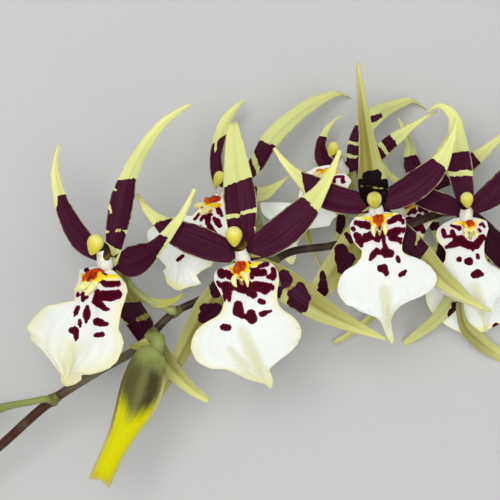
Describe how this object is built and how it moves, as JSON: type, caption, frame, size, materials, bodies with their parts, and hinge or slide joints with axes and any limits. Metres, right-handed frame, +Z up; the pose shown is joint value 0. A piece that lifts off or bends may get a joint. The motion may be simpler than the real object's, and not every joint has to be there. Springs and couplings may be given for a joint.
{
  "type": "cambria orchid flower spray",
  "caption": "Cut arching spray of star-shaped cambria orchid blooms with narrow tepals, broad fiddle-shaped lips, capped columns and long buds on a slender stem.",
  "frame": {"origin": "centre of the bounding box at the surface the spray lies on", "axes": "+Z up from the surface and out of most of the blooms; +X along the stem towards its cut end; +Y towards the tips of the upper sepals"},
  "size_m": [0.396, 0.2161, 0.0762],
  "materials": {
    "stem_brown": "satin skin of a living stem",
    "green_pedicel": "satin skin of a living stem",
    "tepal_purple": "waxy satin petal",
    "lip_white": "soft satin petal",
    "column_cream": "waxy",
    "bud_green": "waxy satin"
  },
  "bodies": {
    "root": {"bloom1_tepals": "tepal_purple", "bloom1_lip": "lip_white", "bloom1_column": "column_cream", "bloom1_pedicel": "green_pedicel", "bloom2_tepals": "tepal_purple", "bloom2_lip": "lip_white", "bloom2_column": "column_cream", "bloom2_pedicel": "green_pedicel", "bloom3_tepals": "tepal_purple", "bloom3_lip": "lip_white", "bloom3_column": "column_cream", "bloom3_pedicel": "green_pedicel", "bloom4_tepals": "tepal_purple", "bloom4_lip": "lip_white", "bloom4_column": "column_cream", "bloom4_pedicel": "green_pedicel", "bloom5_tepals": "tepal_purple", "bloom5_lip": "lip_white", "bloom5_column": "column_cream", "bloom5_pedicel": "green_pedicel", "bloom6_tepals": "tepal_purple", "bloom6_lip": "lip_white", "bloom6_column": "column_cream", "bloom6_pedicel": "green_pedicel", "bloom7_tepals": "tepal_purple", "bloom7_lip": "lip_white", "bloom7_column": "column_cream", "bloom7_pedicel": "green_pedicel", "bloom8_tepals": "tepal_purple", "bloom8_lip": "lip_white", "bloom8_column": "column_cream", "bloom8_pedicel": "green_pedicel", "bud1": "bud_green", "bud2": "bud_green", "bud3": "bud_green", "bud4": "bud_green", "stem": "stem_brown"}
  },
  "joints": []
}
